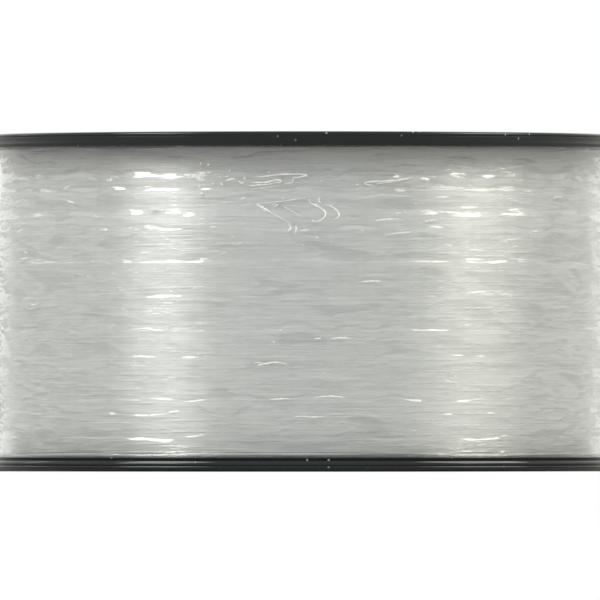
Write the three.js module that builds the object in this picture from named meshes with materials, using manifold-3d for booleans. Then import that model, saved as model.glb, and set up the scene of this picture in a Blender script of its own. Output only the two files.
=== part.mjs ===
// Fishing line spool: a clear monofilament line wound between two black moulded flanges.
// Millimetres, +Z up along the spool's axis, origin at the centre of the resting face.
// Two identical flanges plug into a tubular core. The line fills the space between them,
// a clear shrink film holds the line, and a paper ring label sits in each flange's recess.
import * as THREE from "three";
import { mergeVertices } from "three/addons/utils/BufferGeometryUtils.js";
import Module from "manifold-3d";

const wasm = await Module();
wasm.setup();

// Driving dimensions
const WIDTH = 54.8; // over the outer faces of both flanges
const RIM_THICK = 2.3; // rim of a flange, along the axis
const FLANGE_R = 52; // outer radius of the rim band
const GAP = 0.3; // clearance between pieces that meet
const BORE_R = 6.35; // spindle bore, half an inch across

const LIP_R = 51.6; // inner lip of the rim, next to the line
const LIP_HIGH = 0.65;
const LEDGE_HIGH = 0.3; // slope from the lip out to the band
const RIM_CORNER = 0.6; // rounding of the rim's outer corner
const RIM_WALL_R = 49.5; // inner wall of the rim, round the label recess
const WEB_THICK = 1.3;

const CORE_R = 39; // outside of the core that carries the line
const CORE_WALL = 1.6;
const SPIGOT_WALL = 2.4; // ring on the flange that plugs into the core
const SPIGOT_HIGH = 4.5;
const HUB_R = 8.6; // tube round the spindle bore
const HUB_PAD_R = 10.5; // raised pad round the bore on the outer face
const HUB_PAD_SET_BACK = 0.3; // the pad stays clear of the resting face
const RIB_COUNT = 6;
const RIB_THICK = 1.2;
const RIB_HIGH = 3;
const RIB_SINK = 0.5; // how far a rib runs into the walls that it joins

const LUG_COUNT = 3; // snap lugs on each spigot, with windows in the core
const LUG_WIDE = 6;
const LUG_HIGH = 1.8;
const LUG_RISE = 1.2;
const LUG_LEVEL = 4.6; // middle of a lug above the flange's resting face

const LINE_D = 0.45;
const PACK_MID_R = 49.4; // the wound line bulges at mid width
const PACK_END_R = 48.2;
const PACK_EDGE_R = 47.2; // and rounds off next to the flanges
const PACK_EDGE_HIGH = 1.6;
const PACK_STEPS = 6;

const FILM_THICK = 0.2;
const FILM_CLEAR = 0.12;

const LABEL_THICK = 0.3;
const LABEL_CLEAR = 0.4;

const ANCHOR_LEVEL = 14; // height of the line's anchor hole in the core
const ANCHOR_ANGLE = Math.PI / 2;
const ANCHOR_HOLE_R = 1;
const KNOT_R = 1.5;
const KNOT_PITCH_R = 1.1;

const ROUND = 64; // facets round the axis

const MIDDLE = WIDTH / 2;
const SPACE_LOW = RIM_THICK; // inner face of the lower flange
const CORE_BORE_R = CORE_R - CORE_WALL;
const SPIGOT_R = CORE_BORE_R - GAP;

// Materials
const blackPlastic = { color: 0x0d0e0f, roughness: 0.32, metalness: 0 };
const corePlastic = { color: 0xd6d6d0, roughness: 0.5, metalness: 0 };
const clearLine = { color: 0xc9cdc6, roughness: 0.3, metalness: 0 };
const clearFilm = { color: 0xf0f2ee, roughness: 0.12, metalness: 0, transparent: true, opacity: 0.3 };
const labelPaper = { color: 0x2f6f8f, roughness: 0.6, metalness: 0 };

// Helpers
function spin(points, facets = ROUND) {
  // A closed outline of [radius, height] pairs, turned round the Z axis.
  const outline = points.map(([r, z]) => new THREE.Vector2(r, z));
  outline.push(outline[0].clone());
  const geometry = new THREE.LatheGeometry(outline, facets);
  geometry.rotateX(Math.PI / 2);
  return geometry;
}

function ring(inner, outer, low, high, facets = ROUND) {
  return spin([[inner, low], [outer, low], [outer, high], [inner, high]], facets);
}

function welded(geometry) {
  geometry.deleteAttribute("normal");
  geometry.deleteAttribute("uv");
  return mergeVertices(geometry, 1e-5);
}

function volume(geometry) {
  // Signed volume, negative where the faces point inwards.
  const place = geometry.attributes.position;
  const index = geometry.index;
  const [a, b, c] = [new THREE.Vector3(), new THREE.Vector3(), new THREE.Vector3()];
  let total = 0;
  for (let i = 0; i < index.count; i += 3) {
    a.fromBufferAttribute(place, index.getX(i));
    b.fromBufferAttribute(place, index.getX(i + 1));
    c.fromBufferAttribute(place, index.getX(i + 2));
    total += a.dot(b.cross(c)) / 6;
  }
  return total;
}

function outward(geometry) {
  // The same mesh with its faces pointing out.
  const shell = welded(geometry);
  if (volume(shell) < 0) {
    const order = shell.index.array;
    for (let i = 0; i < order.length; i += 3) {
      [order[i + 1], order[i + 2]] = [order[i + 2], order[i + 1]];
    }
  }
  return shell;
}

function solid(geometry) {
  const shell = outward(geometry);
  return new wasm.Manifold(new wasm.Mesh({
    numProp: 3,
    vertProperties: new Float32Array(shell.attributes.position.array),
    triVerts: new Uint32Array(shell.index.array),
  }));
}

function fromSolid(body) {
  const mesh = body.getMesh();
  const geometry = new THREE.BufferGeometry();
  geometry.setAttribute("position", new THREE.BufferAttribute(mesh.vertProperties, 3));
  geometry.setIndex(new THREE.BufferAttribute(mesh.triVerts, 1));
  geometry.computeVertexNormals();
  return geometry;
}

function block(long, wide, high, x, y, z, turn) {
  // A box centred at x, y, z before it is turned round the axis.
  const geometry = new THREE.BoxGeometry(long, wide, high);
  geometry.translate(x, y, z);
  geometry.rotateZ(turn);
  return solid(geometry);
}

// Flange, as it lies at the bottom of the spool
function rimOutline() {
  // The outside of the rim from the resting face up to the inner face, then the recess.
  const ledgeTop = RIM_THICK - LIP_HIGH;
  const corner = [];
  for (const turn of [-90, -45, 0]) {
    const angle = THREE.MathUtils.degToRad(turn);
    const r = FLANGE_R - RIM_CORNER + RIM_CORNER * Math.cos(angle);
    corner.push([r, RIM_CORNER + RIM_CORNER * Math.sin(angle)]);
  }
  return [
    ...corner,
    [FLANGE_R, ledgeTop - LEDGE_HIGH],
    [LIP_R, ledgeTop],
    [LIP_R, RIM_THICK],
  ];
}

function flangeSolid() {
  const webLow = RIM_THICK - WEB_THICK;
  const spigotTop = RIM_THICK + SPIGOT_HIGH;
  let body = solid(spin([
    ...rimOutline(),
    [SPIGOT_R, RIM_THICK],
    [SPIGOT_R, spigotTop],
    [SPIGOT_R - SPIGOT_WALL, spigotTop],
    [SPIGOT_R - SPIGOT_WALL, RIM_THICK],
    [HUB_R, RIM_THICK],
    [HUB_R, MIDDLE - GAP / 2],
    [BORE_R, MIDDLE - GAP / 2],
    [BORE_R, HUB_PAD_SET_BACK],
    [HUB_PAD_R, HUB_PAD_SET_BACK],
    [HUB_PAD_R, webLow],
    [RIM_WALL_R, webLow],
    [RIM_WALL_R, 0],
  ]));
  const ribInner = HUB_R - RIB_SINK;
  const ribOuter = SPIGOT_R - SPIGOT_WALL + RIB_SINK;
  for (let i = 0; i < RIB_COUNT; i += 1) {
    const turn = (2 * Math.PI * (i + 0.5)) / RIB_COUNT;
    body = body.add(block(
      ribOuter - ribInner, RIB_THICK, RIB_HIGH + RIB_SINK,
      (ribInner + ribOuter) / 2, 0, RIM_THICK + (RIB_HIGH - RIB_SINK) / 2, turn,
    ));
  }
  for (let i = 0; i < LUG_COUNT; i += 1) {
    const turn = (2 * Math.PI * i) / LUG_COUNT;
    body = body.add(block(2 * LUG_RISE, LUG_WIDE, LUG_HIGH, SPIGOT_R, 0, LUG_LEVEL, turn));
  }
  return body;
}

function flange() {
  return fromSolid(flangeSolid());
}

// Core: a tube with snap windows at both ends and the hole that anchors the line
function core() {
  let body = solid(ring(CORE_BORE_R, CORE_R, SPACE_LOW + GAP, WIDTH - SPACE_LOW - GAP));
  for (const level of [LUG_LEVEL, WIDTH - LUG_LEVEL]) {
    for (let i = 0; i < LUG_COUNT; i += 1) {
      const turn = (2 * Math.PI * i) / LUG_COUNT;
      body = body.subtract(block(
        3 * CORE_WALL, LUG_WIDE + 2 * GAP, LUG_HIGH + 2 * GAP, CORE_R, 0, level, turn,
      ));
    }
  }
  const hole = new THREE.CylinderGeometry(ANCHOR_HOLE_R, ANCHOR_HOLE_R, 3 * CORE_WALL, 12);
  hole.rotateZ(Math.PI / 2);
  hole.translate(CORE_R - CORE_WALL / 2, 0, ANCHOR_LEVEL);
  hole.rotateZ(ANCHOR_ANGLE);
  return fromSolid(body.subtract(solid(hole)));
}

// Wound line: radius of the pack at a height above the resting face
function packRadius(z) {
  const half = MIDDLE - SPACE_LOW;
  const off = Math.abs(z - MIDDLE) / half;
  const bulge = PACK_END_R + (PACK_MID_R - PACK_END_R) * (1 - off * off);
  const toFlange = half * (1 - off);
  const into = Math.max(0, 1 - toFlange / PACK_EDGE_HIGH);
  return bulge - (PACK_END_R - PACK_EDGE_R) * into * into;
}

function packLevels(low, high) {
  // Heights across the pack, close together where it rounds off.
  const levels = [low, low + PACK_EDGE_HIGH / 3, low + PACK_EDGE_HIGH];
  const span = high - low - 2 * PACK_EDGE_HIGH;
  for (let i = 1; i < PACK_STEPS; i += 1) {
    levels.push(low + PACK_EDGE_HIGH + (span * i) / PACK_STEPS);
  }
  levels.push(high - PACK_EDGE_HIGH, high - PACK_EDGE_HIGH / 3, high);
  return levels;
}

function winding() {
  const low = SPACE_LOW + GAP;
  const high = WIDTH - low;
  const outside = packLevels(low, high).map((z) => [packRadius(z), z]);
  return outward(spin([[CORE_R + GAP, low], ...outside, [CORE_R + GAP, high]]));
}

function film() {
  const low = SPACE_LOW + GAP;
  const levels = packLevels(low, WIDTH - low);
  const inner = levels.map((z) => [packRadius(z) + FILM_CLEAR, z]);
  const outer = levels.map((z) => [packRadius(z) + FILM_CLEAR + FILM_THICK, z]);
  return outward(spin([...outer, ...inner.reverse()]));
}

// The line's inner end: through the anchor hole, with its stopper knot inside the core
function anchor() {
  const knotAt = CORE_BORE_R - KNOT_R - GAP;
  const route = new THREE.CatmullRomCurve3([
    new THREE.Vector3(CORE_R, 0, 0),
    new THREE.Vector3(CORE_R - CORE_WALL / 2, 0, 0),
    new THREE.Vector3(knotAt, 0, 0),
    new THREE.Vector3(knotAt - 3, 0, -0.8),
    new THREE.Vector3(knotAt - 5.5, 0, -3),
    new THREE.Vector3(knotAt - 6.5, 0, -6),
  ]);
  const section = new THREE.Shape();
  section.absarc(0, 0, LINE_D / 2, 0, 2 * Math.PI);
  const tail = new THREE.ExtrudeGeometry(section, {
    extrudePath: route, steps: 14, curveSegments: 8, bevelEnabled: false,
  });
  const knot = new THREE.TorusGeometry(KNOT_PITCH_R, KNOT_R - KNOT_PITCH_R, 8, 16);
  knot.rotateY(Math.PI / 2);
  knot.translate(knotAt, 0, 0);
  const cross = new THREE.CapsuleGeometry(KNOT_R - KNOT_PITCH_R, 2 * KNOT_PITCH_R, 3, 8);
  cross.translate(knotAt, 0, 0);
  return fromSolid(solid(tail).add(solid(knot)).add(solid(cross)));
}

// Ring label, resting on the recess floor of the lower flange
function label() {
  const top = RIM_THICK - WEB_THICK - LABEL_CLEAR / 2;
  return outward(ring(
    HUB_PAD_R + LABEL_CLEAR, RIM_WALL_R - LABEL_CLEAR, top - LABEL_THICK, top,
  ));
}

// Assembly
const spool = new THREE.Group();

function place(name, geometry, look, parent = spool) {
  const material = new THREE.MeshStandardMaterial(look);
  const mesh = new THREE.Mesh(geometry, material);
  mesh.name = name;
  parent.add(mesh);
  return mesh;
}

function upperGroup() {
  // What lies on the lower side is repeated on the upper side, turned over.
  const group = new THREE.Group();
  group.rotation.x = Math.PI;
  group.position.z = WIDTH;
  spool.add(group);
  return group;
}

const upper = upperGroup();
place("lower_flange", flange(), blackPlastic);
place("upper_flange", flange(), blackPlastic, upper);
place("lower_label", label(), labelPaper);
place("upper_label", label(), labelPaper, upper);
place("core_barrel", core(), corePlastic);
place("line_winding", winding(), clearLine);
place("film_band", film(), clearFilm);

const knotMesh = place("line_anchor_knot", anchor(), clearLine);
knotMesh.rotation.z = ANCHOR_ANGLE;
knotMesh.position.z = ANCHOR_LEVEL;

export default spool;
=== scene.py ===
"""A full spool of clear monofilament fishing line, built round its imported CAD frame.

Everything is in metres, in the frame of the CAD part: +Z along the spool's axis, origin where the
lower flange rests. Lengths below are written in millimetres and multiplied by MM.
"""

import math

import bmesh
import bpy
import numpy as np
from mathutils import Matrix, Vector


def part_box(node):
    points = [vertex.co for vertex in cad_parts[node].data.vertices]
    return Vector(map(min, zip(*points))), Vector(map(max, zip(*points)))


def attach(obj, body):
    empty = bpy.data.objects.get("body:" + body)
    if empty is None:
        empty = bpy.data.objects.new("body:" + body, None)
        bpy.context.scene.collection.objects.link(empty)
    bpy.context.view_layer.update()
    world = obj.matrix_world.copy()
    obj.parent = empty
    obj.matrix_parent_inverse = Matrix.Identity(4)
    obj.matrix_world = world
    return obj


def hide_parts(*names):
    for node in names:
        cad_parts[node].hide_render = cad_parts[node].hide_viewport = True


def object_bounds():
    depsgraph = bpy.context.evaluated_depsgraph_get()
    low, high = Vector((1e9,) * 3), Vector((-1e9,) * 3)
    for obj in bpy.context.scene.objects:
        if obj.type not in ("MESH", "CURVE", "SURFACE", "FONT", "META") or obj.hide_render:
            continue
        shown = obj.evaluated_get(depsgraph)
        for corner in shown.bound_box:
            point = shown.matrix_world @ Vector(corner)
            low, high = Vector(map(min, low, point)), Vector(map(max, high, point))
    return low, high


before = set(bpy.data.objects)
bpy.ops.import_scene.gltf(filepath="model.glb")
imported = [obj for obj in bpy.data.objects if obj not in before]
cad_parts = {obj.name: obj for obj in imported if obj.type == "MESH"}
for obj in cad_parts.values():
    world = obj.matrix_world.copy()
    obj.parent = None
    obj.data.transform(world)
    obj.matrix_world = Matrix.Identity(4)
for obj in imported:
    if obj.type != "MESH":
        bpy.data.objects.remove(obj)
cad_box = [list(corner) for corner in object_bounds()]

MM = 0.001
rng = np.random.default_rng(7)

# ---------------------------------------------------------------- sizes from the frame
def outer_radius(node):
    """How far a node of the frame reaches from the axis, in mm."""
    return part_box(node)[1].x / MM


WIDTH = cad_box[1][2] / MM
FLANGE_R = outer_radius("lower_flange")
FILM_R = outer_radius("film_band")
PACK_MID_R = outer_radius("line_winding")
LABEL_R = outer_radius("lower_label")
CORE_R = outer_radius("core_barrel")

# ---------------------------------------------------------------- sizes of the design, in mm
RIM_THICK = 2.3
BEAD_HIGH = 0.72  # the bead along the rim's outer edge
BEAD_RISE = 0.12  # how far it stands out of the rim's band
LIP_HIGH = 0.65
LIP_SET_BACK = 0.4
LEDGE_HIGH = 0.35  # slope from the band to the lip
RIM_WALL_SET_BACK = 2.5
RECESS_DEEP = 1.0
BORE_R = 6.35
HUB_R = 8.6
HUB_PAD_R = 10.5
HUB_PAD_SET_BACK = 0.3
CORE_WALL = 1.6
GAP = 0.3
SPIGOT_R = CORE_R - CORE_WALL - GAP
SPIGOT_WALL = 2.4
SPIGOT_HIGH = 4.5

RIB_COUNT = 6
RIB_THICK = 1.2
RIB_HIGH = 3.5
RIB_LEVEL = RIM_THICK + 1.25  # height of a rib's middle
RIB_SINK = 0.5  # how far a rib runs into the walls that it joins
LUG_COUNT = 3
LUG_DEEP = 2.4
LUG_WIDE = 6
LUG_HIGH = 1.8
LUG_LEVEL = 4.6  # height of a lug's middle

LABEL_CLEAR = 0.4  # between the label and the hub's pad
LABEL_ROUNDING = 0.06

MIDDLE = WIDTH / 2
FACE_LOW = RIM_THICK  # the flanges' inner faces, which the line and the film reach
FACE_HIGH = WIDTH - RIM_THICK
FACE_CLEAR = 0.02

LINE_D = 0.45
PITCH = 0.462
TURN_STEPS = 132  # rings of points in each turn
TURN_RISE = 0.05  # half the depth of a turn's crown, which its neighbours press flat
TURN_TOP = 0.07  # how far the outermost turns lie inside the pack's envelope
TURN_SHOWN = 0.010  # how far they stand out of the layers below, which fill the gaps between them
CROSSING_TURNS = 22
CROSSING_STEP = math.radians(2.6)
CROSSING_SPAN = (50, 170)  # degrees round the winding
CROSSING_DRIFT = 3.2  # how far a crossing turn climbs or falls at most
CROSSING_SHOWN = 0.006  # how far a crossing turn stands out of the others
PACK_END_R = PACK_MID_R - 0.6
PACK_EDGE_R = PACK_MID_R - 0.75
PACK_EDGE_HIGH = 0.6
PACK_ROWS = 60
PACK_SEGMENTS = 180


def pack_radius(z):
    """Outer radius of the wound line at a height, in mm: a barrel that rounds off at the flanges."""
    half = MIDDLE - RIM_THICK
    off = np.minimum(np.abs(z - MIDDLE) / half, 1)
    bulge = PACK_END_R + (PACK_MID_R - PACK_END_R) * (1 - off**2)
    into = np.clip(1 - half * (1 - off) / PACK_EDGE_HIGH, 0, 1)
    return bulge - (PACK_END_R - PACK_EDGE_R) * into**2


# ---------------------------------------------------------------- camera
CAMERA_AWAY = 3.5  # metres
CAMERA_BELOW = math.radians(0.25)
VIEW_WIDE = 96.5 * MM  # what the picture takes in at the front of the rims
VIEW_OFF_X = -0.25 * MM
VIEW_OFF_Z = 0.45 * MM
FRONT_CLEAR = 3 * MM
SENSOR_WIDE = 36
VIEW_END = 50  # metres


def make_camera():
    """A long lens level with the floor, a little below the horizontal, so the rims look straight."""
    data = bpy.data.cameras.new("camera")
    camera = bpy.data.objects.new("camera", data)
    bpy.context.scene.collection.objects.link(camera)
    front = CAMERA_AWAY * math.cos(CAMERA_BELOW) - FLANGE_R * MM
    data.sensor_width = SENSOR_WIDE
    data.lens = SENSOR_WIDE * front / VIEW_WIDE
    data.clip_start = front - FRONT_CLEAR  # the near part of the floor isn't in the way
    data.clip_end = VIEW_END
    back = Vector((0, -math.cos(CAMERA_BELOW), -math.sin(CAMERA_BELOW)))
    aim = Vector((VIEW_OFF_X, 0, MIDDLE * MM + VIEW_OFF_Z))
    camera.location = aim + back * CAMERA_AWAY
    camera.rotation_mode = "QUATERNION"
    camera.rotation_quaternion = (-back).to_track_quat("-Z", "Y")
    bpy.context.scene.camera = camera


make_camera()


# ---------------------------------------------------------------- material helpers
class Nodes:
    """A material's node tree, with short calls to add and join nodes."""

    def __init__(self, name):
        self.material = bpy.data.materials.new(name)
        self.material.use_nodes = True
        self.tree = self.material.node_tree
        self.tree.nodes.clear()
        self.output = self.tree.nodes.new("ShaderNodeOutputMaterial")

    def add(self, kind, settings=None, **inputs):
        node = self.tree.nodes.new("ShaderNode" + kind)
        for key, value in (settings or {}).items():
            setattr(node, key, value)
        for key, value in inputs.items():
            self.feed(node, key.replace("_", " "), value)
        return node

    def feed(self, node, socket, value):
        """Sets a socket to a value, or joins it to another node's output."""
        target = node.inputs[int(socket)] if socket.isdigit() else node.inputs[socket]
        if isinstance(value, bpy.types.NodeSocket):
            self.tree.links.new(value, target)
        elif isinstance(value, bpy.types.Node):
            self.tree.links.new(value.outputs[0], target)
        else:
            target.default_value = value

    def math(self, operation, a, b=0.0):
        node = self.add("Math", {"operation": operation})
        self.feed(node, "0", a)
        self.feed(node, "1", b)
        return node.outputs[0]

    def place(self, x, y, z):
        """The piece's own coordinates in metres, scaled on each axis."""
        here = self.add("TexCoord").outputs["Object"]
        scaled = self.add("VectorMath", {"operation": "MULTIPLY"})
        self.feed(scaled, "0", here)
        self.feed(scaled, "1", (x, y, z))
        return scaled.outputs[0]

    def noise(self, vector, scale=1.0, detail=2.0, roughness=0.5):
        node = self.add("TexNoise", Scale=scale, Detail=detail, Roughness=roughness)
        self.feed(node, "Vector", vector)
        return node.outputs[0]

    def ramp(self, factor, stops, interpolation="LINEAR"):
        """A colour ramp from (place, grey or colour) pairs."""
        node = self.add("ValToRGB")
        ramp = node.color_ramp
        ramp.interpolation = interpolation
        while len(ramp.elements) < len(stops):
            ramp.elements.new(0.5)
        for element, (at, colour) in zip(ramp.elements, stops):
            element.position = at
            element.color = colour if isinstance(colour, tuple) else (colour,) * 3 + (1,)
        self.feed(node, "Fac", factor)
        return node.outputs[0]

    def blend(self, factor, a, b, mode="MIX"):
        """Mixes two colours: a Mix node takes them at its inputs 6 and 7."""
        node = self.add("Mix", {"data_type": "RGBA", "blend_type": mode})
        for place, value in (("0", factor), ("6", a), ("7", b)):
            self.feed(node, place, value)
        return node.outputs[2]

    def bump(self, height, distance):
        node = self.add("Bump", Strength=1.0, Distance=distance)
        self.feed(node, "Height", height)
        return node.outputs[0]

    def finish(self, shader):
        self.feed(self.output, "Surface", shader)
        return self.material


# ---------------------------------------------------------------- mesh helpers
def grid_quads(rows, cols, wrap_rows=True):
    """Quads over a grid of points stored row by row. Each row is a closed ring."""
    row_count = rows if wrap_rows else rows - 1
    i, j = np.meshgrid(np.arange(row_count), np.arange(cols), indexing="ij")
    up, side = (i + 1) % rows, (j + 1) % cols
    corners = (i * cols + j, i * cols + side, up * cols + side, up * cols + j)
    return np.stack(corners, axis=-1).reshape(-1, 4)


def make_piece(name, points, faces, material, replaced=()):
    """A smooth-shaded piece of the object from points in mm. It rides on the only body."""
    mesh = bpy.data.meshes.new(name)
    mesh.from_pydata((np.asarray(points) * MM).tolist(), [], faces)
    shell = bmesh.new()
    shell.from_mesh(mesh)
    bmesh.ops.recalc_face_normals(shell, faces=shell.faces)
    shell.to_mesh(mesh)
    shell.free()
    mesh.polygons.foreach_set("use_smooth", [True] * len(mesh.polygons))
    mesh.materials.append(material)
    piece = bpy.data.objects.new(name, mesh)
    bpy.context.scene.collection.objects.link(piece)
    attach(piece, "root")
    for node in replaced:
        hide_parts(node)
    return piece


def spun(profile, segments=256):
    """Points and quads of a closed outline of (radius, height) turned round the axis."""
    outline = np.asarray(profile, float)
    angles = np.linspace(0, 2 * math.pi, segments, endpoint=False)
    radius, height = outline[:, 0], outline[:, 1]
    points = np.stack(
        (
            np.outer(np.sin(angles), radius),
            -np.outer(np.cos(angles), radius),
            np.tile(height, (segments, 1)),
        ),
        axis=-1,
    )
    return points.reshape(-1, 3), grid_quads(segments, len(outline)).tolist()


def rounded(corners, steps=4):
    """A closed outline with its corners rounded, from (radius, height, rounding) triples."""
    outline = []
    count = len(corners)
    for i, (x, y, size) in enumerate(corners):
        here = Vector((x, y))
        before = Vector(corners[i - 1][:2])
        after = Vector(corners[(i + 1) % count][:2])
        if size == 0:
            outline.append((x, y))
            continue
        start = here + (before - here).normalized() * size
        end = here + (after - here).normalized() * size
        for step in range(steps + 1):
            t = step / steps
            point = start * (1 - t) ** 2 + here * 2 * t * (1 - t) + end * t**2
            outline.append((point.x, point.y))
    return outline


# ---------------------------------------------------------------- materials
def black_plastic():
    """Glossy black moulding with faint swirls, hairline scuffs and a little dust."""
    n = Nodes("black_plastic")
    fine = n.noise(n.place(900, 900, 900), detail=3)
    cloudy = n.noise(n.place(90, 90, 140), detail=2)
    scuffs = n.noise(n.place(260, 260, 5000), detail=2)
    dust = n.add("TexVoronoi", {"feature": "F1"}, Scale=1.0)
    n.feed(dust, "Vector", n.place(600, 600, 600))
    speck = n.ramp(dust.outputs["Distance"], [(0.0, 1.0), (0.07, 1.0), (0.13, 0.0)])
    rare = n.ramp(n.noise(n.place(300, 300, 300)), [(0.48, 0.0), (0.54, 1.0)])
    dusty = n.math("MULTIPLY", speck, rare)
    base = n.blend(cloudy, (0.004, 0.0045, 0.005, 1), (0.010, 0.0105, 0.011, 1))
    colour = n.blend(n.math("MULTIPLY", dusty, 0.5), base, (0.6, 0.6, 0.57, 1))
    wear = n.math("ADD", n.math("MULTIPLY", fine, 0.04), n.math("MULTIPLY", scuffs, 0.07))
    roughness = n.math("ADD", n.math("ADD", wear, 0.02), n.math("MULTIPLY", dusty, 0.4))
    shader = n.add("BsdfPrincipled", Base_Color=colour, Roughness=roughness, IOR=1.45)
    n.feed(shader, "Specular Tint", (0.86, 0.96, 1.0, 1))
    n.feed(shader, "Normal", n.bump(fine, 0.002 * MM))
    return n.finish(shader)


def white_plastic():
    """The core's natural plastic, with faint flow marks along the tube."""
    n = Nodes("core_plastic")
    flow = n.noise(n.place(400, 400, 60), detail=3)
    colour = n.blend(flow, (0.62, 0.62, 0.58, 1), (0.74, 0.74, 0.70, 1))
    roughness = n.math("ADD", n.math("MULTIPLY", flow, 0.2), 0.35)
    shader = n.add("BsdfPrincipled", Base_Color=colour, Roughness=roughness)
    n.feed(shader, "Normal", n.bump(flow, 0.01 * MM))
    return n.finish(shader)


def near_flange(n, reach_low, reach_high):
    """From 0 at each flange to 1 at a distance of its reach in mm and more."""
    z = n.add("SeparateXYZ", Vector=n.place(1, 1, 1)).outputs[2]
    from_low = n.math("DIVIDE", n.math("SUBTRACT", z, FACE_LOW * MM), reach_low * MM)
    from_high = n.math("DIVIDE", n.math("SUBTRACT", FACE_HIGH * MM, z), reach_high * MM)
    low = n.math("MINIMUM", from_low, 1.0)
    high = n.math("MINIMUM", from_high, 1.0)
    return n.math("MAXIMUM", low, 0.0), n.math("MAXIMUM", high, 0.0)


def shaded(colour, shade):
    """An opaque colour made darker, as painted shade."""
    return tuple(value * shade for value in colour) + (1,)


def nylon_line(name, shade=1.0):
    """Clear nylon as it looks in many layers: whitish grey, streaked along the turns, with painted
    shade next to the flanges. A shade below 1 darkens the whole colour as painted shade.
    """
    n = Nodes(name)
    long_streaks = n.noise(n.place(70, 70, 1900), detail=3, roughness=0.6)
    short_streaks = n.noise(n.place(260, 260, 2700), detail=2)
    mixed = n.math("ADD", n.math("MULTIPLY", long_streaks, 0.6), n.math("MULTIPLY", short_streaks, 0.4))
    colour = n.ramp(mixed, [
        (0.37, shaded((0.765, 0.78, 0.80), shade)),
        (0.50, shaded((0.83, 0.85, 0.877), shade)),
        (0.63, shaded((0.90, 0.92, 0.947), shade)),
    ])
    # Painted shade: less light gets into the winding next to the flanges, and least under the upper
    # one, so its colour is darkened there
    low, high = near_flange(n, reach_low=5.0, reach_high=8.0)
    low_shade = n.ramp(low, [(0.0, 0.95), (0.25, 0.90), (0.5, 0.93), (1.0, 1.0)])
    high_shade = n.ramp(high, [
        (0.0, 0.34), (0.1, 0.41), (0.16, 0.48), (0.25, 0.53),
        (0.4, 0.66), (0.6, 0.81), (1.0, 1.0),
    ])
    colour = n.blend(1.0, colour, low_shade, "MULTIPLY")
    colour = n.blend(1.0, colour, high_shade, "MULTIPLY")
    unevenness = n.noise(n.place(120, 120, 1500), detail=3)
    shader = n.add("BsdfPrincipled", Base_Color=colour, Metallic=0.73, Roughness=0.41, IOR=1.53)
    n.feed(shader, "Normal", n.bump(unevenness, 0.045 * MM))
    across_turns = 0.25  # the highlights stretch across the turns, not along them
    n.feed(shader, "Anisotropic", 1.0)
    n.feed(shader, "Anisotropic Rotation", across_turns)
    n.feed(shader, "Tangent", n.add("Tangent", {"direction_type": "RADIAL", "axis": "Z"}))
    return n.finish(shader)


def clear_film():
    """Thin clear film: mostly see-through, a mirror at glancing angles, faintly milky."""
    mirror_head_on = 0.075
    mirror_glancing = 0.7
    ripple_size = 5.0  # of the fine ripples in some patches, against the broad waves
    n = Nodes("clear_film")
    ripple = n.noise(n.place(420, 420, 2600), detail=3, roughness=0.55)
    broad = n.noise(n.place(70, 70, 420), detail=2)
    patches = n.ramp(n.noise(n.place(110, 110, 500), detail=2), [(0.46, 0.0), (0.66, 1.0)])
    rippled = n.math("MULTIPLY", n.math("MULTIPLY", ripple, patches), ripple_size)
    normal = n.bump(n.math("ADD", rippled, broad), 0.05 * MM)
    facing = n.add("LayerWeight", Blend=0.5)
    n.feed(facing, "Normal", normal)
    glancing = n.math("POWER", facing.outputs["Facing"], 5.0)
    mirrored = n.math("ADD", n.math("MULTIPLY", glancing, mirror_glancing), mirror_head_on)
    gloss = n.add("BsdfAnisotropic", Color=(1, 1, 1, 1), Roughness=0.09)
    n.feed(gloss, "Normal", normal)
    clear = n.add("BsdfTransparent", Color=(1, 1, 1, 1))
    haze = n.add("BsdfDiffuse", Color=(0.9, 0.92, 0.88, 1))
    clouds = n.math("MULTIPLY", n.noise(n.place(90, 90, 260), detail=3), 0.08)
    grazing = n.math("MULTIPLY", facing.outputs["Facing"], 0.06)
    milky = n.add("MixShader", Fac=n.math("ADD", clouds, grazing))
    n.feed(milky, "1", clear)
    n.feed(milky, "2", haze)
    film = n.add("MixShader", Fac=mirrored)
    n.feed(film, "1", milky)
    n.feed(film, "2", gloss)
    return n.finish(film)


def crease_film_painted_highlight():
    """Film gathered into a fold: whiter and shinier than the flat film. The whiteness is partly real,
    as folded film is milkier, and partly a painted highlight that stands in for the glints along the
    folds.
    """
    n = Nodes("film_crease_painted_highlight")
    grain = n.noise(n.place(3000, 3000, 3000), detail=2)
    shader = n.add("BsdfPrincipled", Base_Color=(0.98, 0.99, 0.98, 1), Roughness=0.22)
    n.feed(shader, "Specular IOR Level", 1.0)
    n.feed(shader, "Normal", n.bump(grain, 0.05 * MM))
    return n.finish(shader)


def label_paper():
    """Coated paper with plain printed rings."""
    n = Nodes("label_paper")
    split = n.add("SeparateXYZ", Vector=n.place(1 / MM, 1 / MM, 1 / MM))
    x, y = split.outputs[0], split.outputs[1]
    radius = n.math("SQRT", n.math("ADD", n.math("MULTIPLY", x, x), n.math("MULTIPLY", y, y)))
    white = (0.62, 0.63, 0.605, 1)
    blue = (0.035, 0.13, 0.22, 1)
    aqua = (0.16, 0.42, 0.47, 1)
    share = n.math("DIVIDE", radius, LABEL_R)
    print_rings = n.ramp(share, [
        (0.0, white), (0.30, blue), (0.33, white), (0.345, aqua), (0.36, white),
        (0.74, aqua), (0.755, white), (0.775, blue), (0.965, white),
    ], "CONSTANT")
    fibre = n.noise(n.place(2500, 2500, 2500), detail=4)
    colour = n.blend(0.12, print_rings, fibre, "OVERLAY")
    roughness = n.math("ADD", n.math("MULTIPLY", fibre, 0.2), 0.3)
    shader = n.add("BsdfPrincipled", Base_Color=colour, Roughness=roughness)
    n.feed(shader, "Normal", n.bump(fibre, 0.01 * MM))
    return n.finish(shader)


BLACK = black_plastic()
WHITE = white_plastic()
NYLON = nylon_line("nylon_line")
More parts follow.
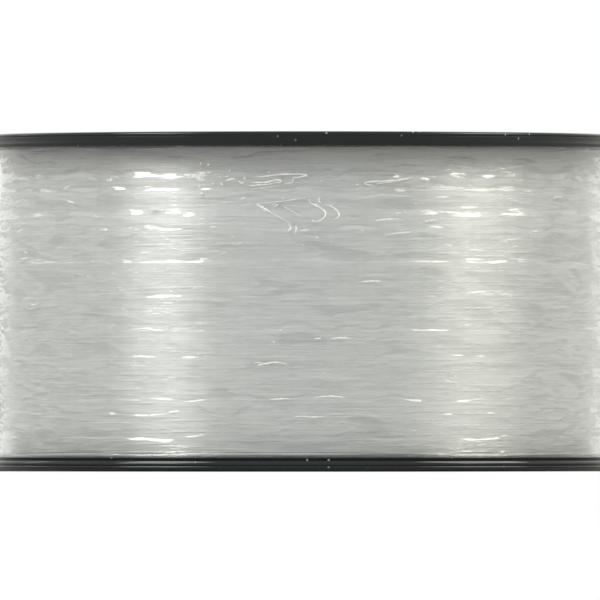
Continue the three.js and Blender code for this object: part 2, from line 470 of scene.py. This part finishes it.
# The layers under the outer turns take a slightly darker copy: painted shade where they show between
# the turns
NYLON_DEEP_SHADED = nylon_line("nylon_line_deep_shaded", 0.97)
FILM = clear_film()
CREASE_PAINTED_HIGHLIGHT = crease_film_painted_highlight()
PAPER = label_paper()


# ---------------------------------------------------------------- flanges
def flange_outline():
    """The lower flange's outline from the resting face round its outside, in mm."""
    band = FLANGE_R - BEAD_RISE
    lip = FLANGE_R - LIP_SET_BACK
    lip_low = RIM_THICK - LIP_HIGH
    wall = FLANGE_R - RIM_WALL_SET_BACK
    spigot_in = SPIGOT_R - SPIGOT_WALL
    spigot_top = RIM_THICK + SPIGOT_HIGH
    hub_top = MIDDLE - GAP / 2
    return rounded([
        (FLANGE_R, 0, 0.6),
        (FLANGE_R, BEAD_HIGH, 0.1),
        (band, BEAD_HIGH + BEAD_RISE, 0.1),
        (band, lip_low - LEDGE_HIGH, 0.34),
        (lip, lip_low + 0.03, 0.1),
        (lip, RIM_THICK, 0.15),
        (SPIGOT_R, RIM_THICK, 0.2),
        (SPIGOT_R, spigot_top, 0.4),
        (spigot_in, spigot_top, 0.3),
        (spigot_in, RIM_THICK, 0.3),
        (HUB_R, RIM_THICK, 0.8),
        (HUB_R, hub_top, 0.2),
        (BORE_R, hub_top, 0.2),
        (BORE_R, HUB_PAD_SET_BACK, 0.3),
        (HUB_PAD_R, HUB_PAD_SET_BACK, 0.25),
        (HUB_PAD_R, RECESS_DEEP, 0.1),
        (wall, RECESS_DEEP, 0.15),
        (wall, 0, 0.25),
    ])


def turned_box(long, wide, high, centre, turn):
    """Corner points and faces of a box that is placed and then turned round the axis."""
    corners = np.array([(x, y, z) for x in (-0.5, 0.5) for y in (-0.5, 0.5) for z in (-0.5, 0.5)])
    points = corners * (long, wide, high) + centre
    c, s = math.cos(turn), math.sin(turn)
    points = points @ np.array(((c, s, 0), (-s, c, 0), (0, 0, 1)))
    faces = [[0, 1, 3, 2], [4, 6, 7, 5], [0, 4, 5, 1], [2, 3, 7, 6], [0, 2, 6, 4], [1, 5, 7, 3]]
    return points, faces


def join_boxes(piece, boxes):
    """Joins boxes to a piece, so that the result is one closed body."""
    points, faces = [], []
    for box_points, box_faces in boxes:
        faces += [[corner + len(points) for corner in face] for face in box_faces]
        points += box_points.tolist()
    mesh = bpy.data.meshes.new("join")
    mesh.from_pydata((np.array(points) * MM).tolist(), [], faces)
    tool = bpy.data.objects.new("join", mesh)
    bpy.context.scene.collection.objects.link(tool)
    modifier = piece.modifiers.new("join", "BOOLEAN")
    modifier.operation = "UNION"
    modifier.solver = "EXACT"
    modifier.object = tool
    depsgraph = bpy.context.evaluated_depsgraph_get()
    joined = bpy.data.meshes.new_from_object(piece.evaluated_get(depsgraph))
    piece.modifiers.clear()
    piece.data = joined
    bpy.data.objects.remove(tool)


def ribs_and_lugs():
    """Boxes of the ribs between the hub and the spigot, and of the snap lugs on the spigot."""
    rib_start = HUB_R - RIB_SINK
    rib_end = SPIGOT_R - SPIGOT_WALL + RIB_SINK
    rib_centre = ((rib_start + rib_end) / 2, 0, RIB_LEVEL)
    boxes = []
    for i in range(RIB_COUNT):
        turn = 2 * math.pi * (i + 0.5) / RIB_COUNT
        boxes.append(turned_box(rib_end - rib_start, RIB_THICK, RIB_HIGH, rib_centre, turn))
    for i in range(LUG_COUNT):
        turn = 2 * math.pi * i / LUG_COUNT
        boxes.append(turned_box(LUG_DEEP, LUG_WIDE, LUG_HIGH, (SPIGOT_R, 0, LUG_LEVEL), turn))
    return boxes


def make_flange(name, node, upper):
    """A flange made where the lower one lies, and turned over for the upper one."""
    points, faces = spun(flange_outline())
    piece = make_piece(name, points, faces, BLACK, [node])
    join_boxes(piece, ribs_and_lugs())
    if upper:
        flip = np.empty(len(piece.data.vertices) * 3)
        piece.data.vertices.foreach_get("co", flip)
        flip = flip.reshape(-1, 3) * (1, -1, -1) + (0, 0, WIDTH * MM)
        piece.data.vertices.foreach_set("co", flip.ravel())
    return piece


make_flange("moulded_flange_lower", "lower_flange", upper=False)
make_flange("moulded_flange_upper", "upper_flange", upper=True)

# The core and the line's inner end are shown as they are in the frame
for node, material in (("core_barrel", WHITE), ("line_anchor_knot", NYLON)):
    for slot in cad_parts[node].material_slots:
        slot.material = material


# ---------------------------------------------------------------- labels
def make_label(name, node):
    """A flat paper ring where the frame's label lies."""
    low, high = (corner.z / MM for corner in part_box(node))
    inner, outer = HUB_PAD_R + LABEL_CLEAR, LABEL_R
    corners = ((inner, low), (outer, low), (outer, high), (inner, high))
    outline = rounded([(radius, z, LABEL_ROUNDING) for radius, z in corners], steps=2)
    points, faces = spun(outline)
    make_piece(name, points, faces, PAPER, [node])


make_label("ring_label_lower", "lower_label")
make_label("ring_label_upper", "upper_label")


# ---------------------------------------------------------------- wound line
def waves(count, around, along, size):
    """A smooth random function of the angle and the turn, or the height: a sum of sine waves."""
    orders = rng.integers(around[0], around[1] + 1, count)
    speeds = rng.uniform(*along, count)
    phases = rng.uniform(0, 2 * math.pi, count)
    sizes = rng.normal(0, size / math.sqrt(count / 2), count)

    def value(angle, turn):
        total = np.zeros_like(angle)
        for order, speed, phase, height in zip(orders, speeds, phases, sizes):
            total += height * np.sin(order * angle + speed * turn + phase)
        return total

    return value


# A turn's outline: how far each point stands out, in TURN_RISE, and how high, in LINE_D
TURN_OUTLINE = ((1, 0), (0.86, 0.27), (0.4, 0.54), (-1, 0), (0.4, -0.54), (0.86, -0.27))
TURN_SIDES = len(TURN_OUTLINE)


def strand_points(angle, height, radius):
    """Rings of points round a turn of line, with the low crown that shows between its neighbours."""
    outline = np.array(TURN_OUTLINE)
    out = radius[:, None] + TURN_RISE * outline[None, :, 0]
    up = height[:, None] + LINE_D * outline[None, :, 1]
    x = out * np.sin(angle)[:, None]
    y = -out * np.cos(angle)[:, None]
    return np.stack((x, y, up), axis=-1).reshape(-1, 3)


def strand_faces(strand, base):
    """Faces of a strand whose rings of points start at number base, with both ends closed."""
    rings = len(strand) // TURN_SIDES
    faces = grid_quads(rings, TURN_SIDES, wrap_rows=False) + base
    first_end = range(base, base + TURN_SIDES)
    last_end = range(base + len(strand) - TURN_SIDES, base + len(strand))
    return faces.tolist() + [list(first_end), list(last_end)]


def strands_piece(name, strands, material, replaced=()):
    """One piece of many strands."""
    faces, base = [], 0
    for strand in strands:
        faces += strand_faces(strand, base)
        base += len(strand)
    return make_piece(name, np.concatenate(strands), faces, material, replaced)


def long_turns(low, high):
    """The line wound turn beside turn from one flange to the other."""
    sway = waves(14, (1, 7), (0.2, 1.2), 0.04)
    jitter = waves(18, (2, 16), (1.4, 3.1), 0.085)
    sink = waves(20, (2, 16), (1.0, 3.1), 0.008)
    turn = np.arange(0, (high - low) / PITCH, 1 / TURN_STEPS)
    angle = 2 * math.pi * turn + math.pi
    height = np.clip(low + PITCH * turn + sway(angle, turn) + jitter(angle, turn), low, high)
    radius = pack_radius(height) - TURN_RISE - TURN_TOP + sink(angle, turn)
    return strand_points(angle, height, radius)


def crossing_turn(low, high):
    """A stretch of line that runs across the others, and dives between them at its ends."""
    span = math.radians(rng.uniform(*CROSSING_SPAN))
    t = np.linspace(0, 1, int(span / CROSSING_STEP))
    angle = rng.uniform(-math.pi, math.pi) + span * t
    drift = rng.uniform(-CROSSING_DRIFT, CROSSING_DRIFT)
    level = rng.uniform(low + 3, high - 3)
    bow = 0.1 * np.sin(9 * t + level)
    height = np.clip(level + drift * (t - 0.5) + bow, low, high)
    dive = np.clip(np.minimum(t, 1 - t) * 12, 0, 1)
    radius = pack_radius(height) - TURN_RISE - TURN_TOP + CROSSING_SHOWN - LINE_D * (1 - dive) ** 2
    return strand_points(angle, height, radius)


def make_turns():
    """The outermost layer: one line wound turn beside turn, and a few turns that cross it."""
    low, high = FACE_LOW + LINE_D / 2, FACE_HIGH - LINE_D / 2
    strands = [long_turns(low, high)]
    strands += [crossing_turn(low, high) for _ in range(CROSSING_TURNS)]
    return strands_piece("line_turns", strands, NYLON, ["line_winding"])


def make_pack():
    """The layers below the outermost turns, as one body down to the core."""
    levels = np.linspace(FACE_LOW + FACE_CLEAR, FACE_HIGH - FACE_CLEAR, PACK_ROWS)
    outline = [(pack_radius(z) - TURN_TOP - TURN_SHOWN, z) for z in levels]
    outline += [(CORE_R + GAP, levels[-1]), (CORE_R + GAP, levels[0])]
    points, faces = spun(outline, PACK_SEGMENTS)
    return make_piece("line_pack", points, faces, NYLON_DEEP_SHADED, ["line_winding"])


make_pack()
make_turns()


# ---------------------------------------------------------------- film
FILM_COLS = 300
FILM_ROW_STEP = 0.62
FILM_ROW_LEAST = 0.08
FILM_THICK = 0.04
FILM_CLEAR = 0.14  # the film's usual distance from the winding, then its least and its most
FILM_LEAST = 0.02
FILM_MOST = 0.70
FILM_EDGE_R = PACK_MID_R + 0.1  # the film's edges stand off the rounded ends of the winding
FILM_BRIDGE = 5.0  # how far from the flanges it starts to do so
PUCKER_REACH = 1.2  # how fast the puckers at its edges fade
SEAM_FLAT = 0.92  # share of the rings' height that is missing at the film's seams
SEAM_REACH = 24  # degrees
RING_REACH = 1.8  # how far a ring's rows reach, in widths of the ring
RING_ROWS = 8
# Tension rings round the film, in mm: height above the resting face, how far they stand out, width
RINGS = (
    (47.1, 0.44, 0.66), (45.2, 0.27, 0.40), (40.9, 0.42, 0.80), (39.0, 0.22, 0.32),
    (33.6, 0.18, 0.26), (28.1, 0.14, 0.25), (22.7, 0.16, 0.24), (18.5, 0.13, 0.22),
    (11.4, 0.20, 0.28), (9.2, 0.17, 0.26), (5.2, 0.12, 0.24),
)


def film_levels():
    """Heights of the film's rows: close together on the rings, further apart between them."""
    rows = list(np.arange(FACE_LOW + FACE_CLEAR, FACE_HIGH, FILM_ROW_STEP)) + [FACE_HIGH - FACE_CLEAR]
    for level, _, width in RINGS:
        rows += list(level + width * np.linspace(-RING_REACH, RING_REACH, RING_ROWS))
    rows = sorted(rows)
    return np.array([z for z, lower in zip(rows, [0] + rows) if z - lower > FILM_ROW_LEAST])


def make_lift():
    """How far the film stands off the winding, in mm: tension rings, slack and edge puckers.

    The rings are flatter at both sides, along the film's seams.
    """
    slack = waves(24, (4, 30), (0.15, 1.1), 0.04)
    puckers = waves(10, (20, 70), (0.0, 0.6), 0.05)
    swells = [waves(14, (6, 70), (0, 0), 0.5) for _ in RINGS]
    wanders = [waves(12, (2, 45), (0, 0), 0.2) for _ in RINGS]

    def lift(angle, z):
        edge = np.exp(-(z - FACE_LOW) / PUCKER_REACH) + np.exp(-(FACE_HIGH - z) / PUCKER_REACH)
        side = np.degrees(np.abs(np.arcsin(np.sin(angle))))
        smoothed = 1 - SEAM_FLAT * np.exp(-(((side - 90) / SEAM_REACH) ** 2))
        total = slack(angle, z) + edge * puckers(angle, z)
        for (level, size, width), swell, wander in zip(RINGS, swells, wanders):
            strength = smoothed * np.clip(0.85 + swell(angle, z), 0.15, 1.5)
            off = (z - level - wander(angle, z)) / width
            total += size * strength * np.exp(-(off**2))
        return total

    return lift


FILM_LIFT = make_lift()


def film_radius(angle, z):
    """The film's inner radius: close on the winding, and bridging the corners at the flanges."""
    bare = pack_radius(z)
    near = np.minimum(z - FACE_LOW, FACE_HIGH - z)
    bridge = np.clip(1 - near / FILM_BRIDGE, 0, 1) ** 1.5 * (FILM_EDGE_R - bare)
    return bare + bridge + np.clip(FILM_CLEAR + FILM_LIFT(angle, z), FILM_LEAST, FILM_MOST)


def make_film():
    """The film as a closed thin sleeve: its outside first, then its inside from top to bottom."""
    z = film_levels()
    angle = np.linspace(0, 2 * math.pi, FILM_COLS, endpoint=False) + math.pi
    angles, levels = np.meshgrid(angle, z, indexing="ij")
    radius = film_radius(angles, levels)
    layers = []
    for offset, order in ((FILM_THICK, slice(None)), (0.0, slice(None, None, -1))):
        r = radius + offset
        layer = np.stack((r * np.sin(angles), -r * np.cos(angles), levels), axis=-1)
        layers.append(layer[:, order])
    points = np.concatenate(layers, axis=1)
    faces = grid_quads(FILM_COLS, 2 * len(z)).tolist()
    return make_piece("film_wrap", points.reshape(-1, 3), faces, FILM, ["film_band"])


make_film()


# ---------------------------------------------------------------- creases in the film
# Routes on the film, in mm: distance round it and height. ROUTE_SHIFT is where their
# zero lies, seen from the middle of the front.
ROUTE_SHIFT = (0.65, 0)
CURLS = (
    (
        (0.85, 44.1), (0.6, 43.6), (1.1, 43.1), (2.1, 42.6), (3.0, 42.0),
        (3.2, 41.3), (2.7, 40.7), (1.9, 40.3), (1.1, 40.2),
    ),
    ((2.4, 44.2), (2.1, 43.7), (2.5, 43.2)),
    ((3.3, 43.0), (4.2, 42.7), (5.1, 42.0), (5.4, 41.4), (5.2, 40.9), (4.5, 40.6)),
    (
        (-8.2, 47.4), (-6.2, 47.6), (-3.9, 47.85), (-1.3, 47.9), (0.2, 47.75),
        (-1.1, 47.4), (-2.0, 47.3), (-2.0, 46.9), (-2.4, 46.5), (-3.4, 46.4),
    ),
    (
        (-9.0, 46.5), (-6.4, 46.6), (-5.7, 46.75), (-4.9, 46.95),
        (-4.1, 46.9), (-4.1, 46.6), (-5.2, 46.45), (-6.0, 46.4),
    ),
    ((18.0, 47.5), (16.0, 47.1), (13.7, 46.7), (11.9, 46.4), (11.5, 46.2)),
    ((17.4, 47.2), (14.5, 46.9), (10.8, 46.7), (9.6, 46.5), (10.2, 46.2), (11.4, 46.1)),
    ((11.5, 40.2), (11.9, 40.5), (15.1, 40.7)),
    ((13.3, 38.1), (15.1, 38.4), (17.8, 38.6)),
    ((20.0, 40.0), (19.7, 40.2), (21.0, 40.5), (22.2, 40.5)),
    ((8.8, 30.55), (11.0, 30.65), (12.6, 30.6)),
    ((1.3, 21.4), (2.6, 21.45)),
    ((4.0, 21.4), (5.6, 21.5), (7.6, 21.45)),
    ((-8.5, 17.3), (-7.8, 17.55), (-6.4, 17.35), (-5.4, 17.55), (-4.4, 17.55), (-2.9, 17.3)),
    ((-7.8, 17.15), (-6.9, 17.2)),
    ((-5.8, 11.6), (-2.6, 11.75)),
    ((1.3, 11.95), (4.0, 12.1), (6.8, 11.9)),
    ((-2.0, 8.8), (-0.6, 8.9), (1.2, 8.75), (3.0, 8.9)),
    ((-13.1, 46.9), (-12.2, 47.1), (-11.4, 47.15)),
    ((-10.9, 46.9), (-10.6, 46.5), (-10.0, 46.5)),
    ((-9.4, 46.0), (-7.2, 46.2), (-5.4, 46.3)),
    ((-10.6, 43.8), (-9.8, 44.2)),
    ((-5.1, 42.7), (-4.8, 42.8), (-4.5, 43.1)),
    ((-2.8, 39.9), (-2.4, 39.2), (-2.9, 38.6)),
    ((-1.6, 39.6), (-1.5, 38.9), (-1.9, 38.3)),
    ((-1.0, 38.8), (0.6, 38.9)),
    ((-13.6, 46.6), (-13.9, 46.3), (-13.4, 46.1)),
)
# Faint, hair-thin folds
HAIRS = (
    ((-8.0, 43.1), (-3.3, 43.6), (0.7, 44.3)),
    ((-4.0, 43.0), (-2.2, 41.9), (-0.4, 40.9)),
    ((-5.6, 41.7), (-3.9, 40.8), (-2.2, 39.8)),
    ((-10.4, 42.9), (-8.6, 43.2)),
    ((-9.0, 45.6), (-6.0, 45.8), (-4.2, 46.1)),
    ((8.4, 43.9), (12.5, 44.6), (17.0, 44.3)),
)
# Small flat puckers where the film is gathered
BLOBS = (
    ((-8.0, 43.15), (-7.0, 42.5), (-5.6, 41.7)),
    ((1.0, 40.3), (1.5, 40.4)),
    ((-17.8, 45.9), (-17.3, 45.9)),
    ((-17.5, 44.8), (-16.8, 44.8)),
    ((-10.1, 47.2), (-9.7, 47.25)),
    ((-15.4, 46.4), (-15.1, 46.4)),
    ((-12.6, 48.5), (-12.3, 48.5)),
    ((-15.9, 48.2), (-15.6, 48.2)),
    ((-17.5, 49.6), (-17.2, 49.6)),
    ((-16.3, 49.4), (-15.8, 49.5)),
)
CREASE_R = 0.13
HAIR_R = 0.4 * CREASE_R
BLOB_R = 1.7 * CREASE_R
STRAY_COUNT = 46
DOT_COUNT = 150


def smooth_route(points, step=0.14):
    """A Catmull-Rom curve through the points of a route, sampled at about one step."""
    points = np.asarray(points, float)
    ends = np.concatenate(([2 * points[0] - points[1]], points, [2 * points[-1] - points[-2]]))
    route = []
    for a, b, c, d in zip(ends, ends[1:], ends[2:], ends[3:]):
        count = max(2, int(np.linalg.norm(c - b) / step))
        t = np.linspace(0, 1, count, endpoint=False)[:, None]
        route.append(b + t * (c - a) / 2 + t**2 * (2 * a - 5 * b + 4 * c - d) / 2
                     + t**3 * (3 * b - a - 3 * c + d) / 2)
    return np.concatenate(route + [points[-1:]])


def crease_points(route, thick):
    """Rings of points round a fold that lies on the film and tapers to its ends."""
    around, up = route[:, 0], route[:, 1]
    angle = around / FILM_R
    slope = np.gradient(route, axis=0)
    slope /= np.linalg.norm(slope, axis=1)[:, None] + 1e-9
    share = np.linspace(0, 1, len(route))
    size = thick * np.clip(np.sin(math.pi * share), 0, 1) ** 0.6 + 0.01
    size *= 1 + 0.3 * np.sin(23 * share + around[0])
    turn = np.linspace(0, 2 * math.pi, TURN_SIDES, endpoint=False)
    side = size[:, None] * np.cos(turn)
    radius = film_radius(angle, up)[:, None] + FILM_THICK + size[:, None] * (0.6 * np.sin(turn) + 0.2)
    angles = angle[:, None] - side * slope[:, 1:] / FILM_R
    levels = up[:, None] + side * slope[:, :1]
    points = np.stack((radius * np.sin(angles), -radius * np.cos(angles), levels), axis=-1)
    return points.reshape(-1, 3)


def stray_route():
    """A short dash, hook or wave somewhere round the film, away from the middle of the front."""
    around = FILM_R * rng.uniform(0.6, 2 * math.pi - 0.35)
    up = rng.uniform(FACE_LOW + 3, FACE_HIGH - 4)
    long = rng.uniform(0.8, 4.0)
    t = np.linspace(-0.5, 0.5, 5)
    bow = rng.normal(0, 0.16) * (t**2 - 0.25) * 4
    tilt = rng.normal(0, 0.25) * t
    return np.stack((around + long * t, up + bow + tilt + rng.normal(0, 0.06, 5)), axis=-1)


def dot_route():
    """A tiny pucker: most are near the top of the winding."""
    around = FILM_R * rng.uniform(-math.pi, math.pi)
    up = FACE_HIGH - 3.5 - rng.gamma(1.6, 7.0) % 43
    long = rng.uniform(0.12, 0.5)
    return np.array(((around, up), (around + long / 2, up + rng.normal(0, 0.05)), (around + long, up)))


def make_creases():
    """All folds in the film: those on the front as listed, and random ones all round it."""
    routes = []
    for shapes, thick in ((CURLS, CREASE_R), (HAIRS, HAIR_R), (BLOBS, BLOB_R)):
        routes += [(np.array(shape) + ROUTE_SHIFT, thick) for shape in shapes]
    routes += [(stray_route(), CREASE_R * rng.uniform(0.5, 1.0)) for _ in range(STRAY_COUNT)]
    routes += [(dot_route(), CREASE_R * rng.uniform(0.6, 1.1)) for _ in range(DOT_COUNT)]
    folds = [crease_points(smooth_route(route), thick) for route, thick in routes]
    # The folds' white colour is partly a painted highlight
    return strands_piece("film_creases", folds, CREASE_PAINTED_HIGHLIGHT)


make_creases()


# ---------------------------------------------------------------- stage and lights
def stage_plane(name, corners, material):
    """A flat part of the set, not of the object. Its corners are in metres."""
    mesh = bpy.data.meshes.new(name)
    mesh.from_pydata(corners, [], [[0, 1, 2, 3]])
    mesh.materials.append(material)
    plane = bpy.data.objects.new(name, mesh)
    bpy.context.scene.collection.objects.link(plane)
    return plane


def floor_material():
    n = Nodes("pale_floor")
    grain = n.noise(n.place(3, 3, 3), detail=2)
    colour = n.blend(grain, (0.50, 0.50, 0.495, 1), (0.52, 0.52, 0.515, 1))
    return n.finish(n.add("BsdfDiffuse", Color=colour))


def card_material():
    n = Nodes("white_card")
    return n.finish(n.add("Emission", Color=(1, 1, 1, 1), Strength=1.0))


def area_light(name, direction, away, size, radiance, colour, aim):
    """A rectangular light of a given brightness, aimed at a point, in metres."""
    data = bpy.data.lights.new(name, "AREA")
    data.shape = "RECTANGLE"
    data.size, data.size_y = size
    watts_per_area = 4  # for a radiance of 1
    data.energy = radiance * watts_per_area * size[0] * size[1]
    data.color = colour
    light = bpy.data.objects.new(name, data)
    light.location = aim + direction.normalized() * away
    light.rotation_mode = "QUATERNION"
    light.rotation_quaternion = direction.to_track_quat("Z", "Y")
    light.visible_camera = False
    bpy.context.scene.collection.objects.link(light)


def from_azimuth(degrees, up):
    """A direction: 0 is towards the camera, positive to its right, with up as the rise."""
    turn = math.radians(degrees)
    return Vector((math.sin(turn), -math.cos(turn), up))


def make_world():
    """A pale room: white behind the spool, dim on the camera's side, bright overhead."""
    world = bpy.data.worlds.new("studio")
    world.use_nodes = True
    tree = world.node_tree
    tree.nodes.clear()
    add, join = tree.nodes.new, tree.links.new
    split = add("ShaderNodeSeparateXYZ")
    join(add("ShaderNodeTexCoord").outputs["Generated"], split.inputs[0])
    depth = add("ShaderNodeMapRange")
    depth.inputs["From Min"].default_value = -1
    join(split.outputs[1], depth.inputs["Value"])
    walls = add("ShaderNodeFloatCurve")
    curve = walls.mapping.curves[0]
    levels = (
        (0.0, 0.12), (0.40, 0.14), (0.57, 0.15), (0.67, 0.14),
        (0.80, 0.24), (0.90, 0.56), (0.97, 1.0), (1.0, 1.0),
    )
    while len(curve.points) < len(levels):
        curve.points.new(0.5, 0.5)
    for point, place in zip(curve.points, levels):
        point.location = place
    walls.mapping.update()
    join(depth.outputs["Result"], walls.inputs["Value"])
    overhead = add("ShaderNodeMapRange")
    overhead.interpolation_type = "SMOOTHSTEP"
    for key, value in (("From Min", 0.05), ("From Max", 0.45), ("To Min", 0.02), ("To Max", 0.79)):
        overhead.inputs[key].default_value = value
    join(split.outputs[2], overhead.inputs["Value"])
    total = add("ShaderNodeMath")
    join(walls.outputs[0], total.inputs[0])
    join(overhead.outputs["Result"], total.inputs[1])
    across = add("ShaderNodeMapRange")
    across.inputs["From Min"].default_value = -1
    join(split.outputs[0], across.inputs["Value"])
    tint = add("ShaderNodeValToRGB")
    tint.color_ramp.elements[0].color = (1.0, 1.0, 0.92, 1)
    tint.color_ramp.elements[1].color = (1.0, 0.99, 0.87, 1)
    tint.color_ramp.elements.new(0.5).color = (0.985, 1.0, 0.995, 1)
    join(across.outputs["Result"], tint.inputs["Fac"])
    background = add("ShaderNodeBackground")
    join(tint.outputs["Color"], background.inputs["Color"])
    join(total.outputs[0], background.inputs["Strength"])
    join(background.outputs[0], add("ShaderNodeOutputWorld").inputs["Surface"])
    bpy.context.scene.world = world


def make_stage():
    """A wide floor, and a white card just below its level that faces the camera."""
    reach = 8.0
    floor = [(-reach, -reach, 0), (reach, -reach, 0), (reach, reach, 0), (-reach, reach, 0)]
    stage_plane("floor", floor, floor_material())
    front = -(FLANGE_R + 1.5) * MM
    top, bottom, side = -0.05 * MM, -0.25, 0.25
    card = [(-side, front, top), (side, front, top), (side, front, bottom), (-side, front, bottom)]
    stage_plane("white_card", card, card_material())


def make_lights():
    """Two boxes high at the sides, whose reflections are the winding's bands, and a cool strip."""
    aim = Vector((0, 0, MIDDLE * MM))
    away = 1.1
    area_light("left_box", from_azimuth(-65, 1.0), away, (0.46, 0.5), 5.0, (1.0, 0.99, 0.90), aim)
    area_light("right_box", from_azimuth(84.5, 1.0), away, (0.60, 0.5), 4.3, (1.0, 0.99, 0.83), aim)
    area_light("cool_strip", from_azimuth(-124, 0.58), away, (0.12, 0.5), 0.9, (0.85, 0.95, 1.0), aim)


make_world()
make_stage()
make_lights()
bpy.context.scene.view_settings.view_transform = "Standard"
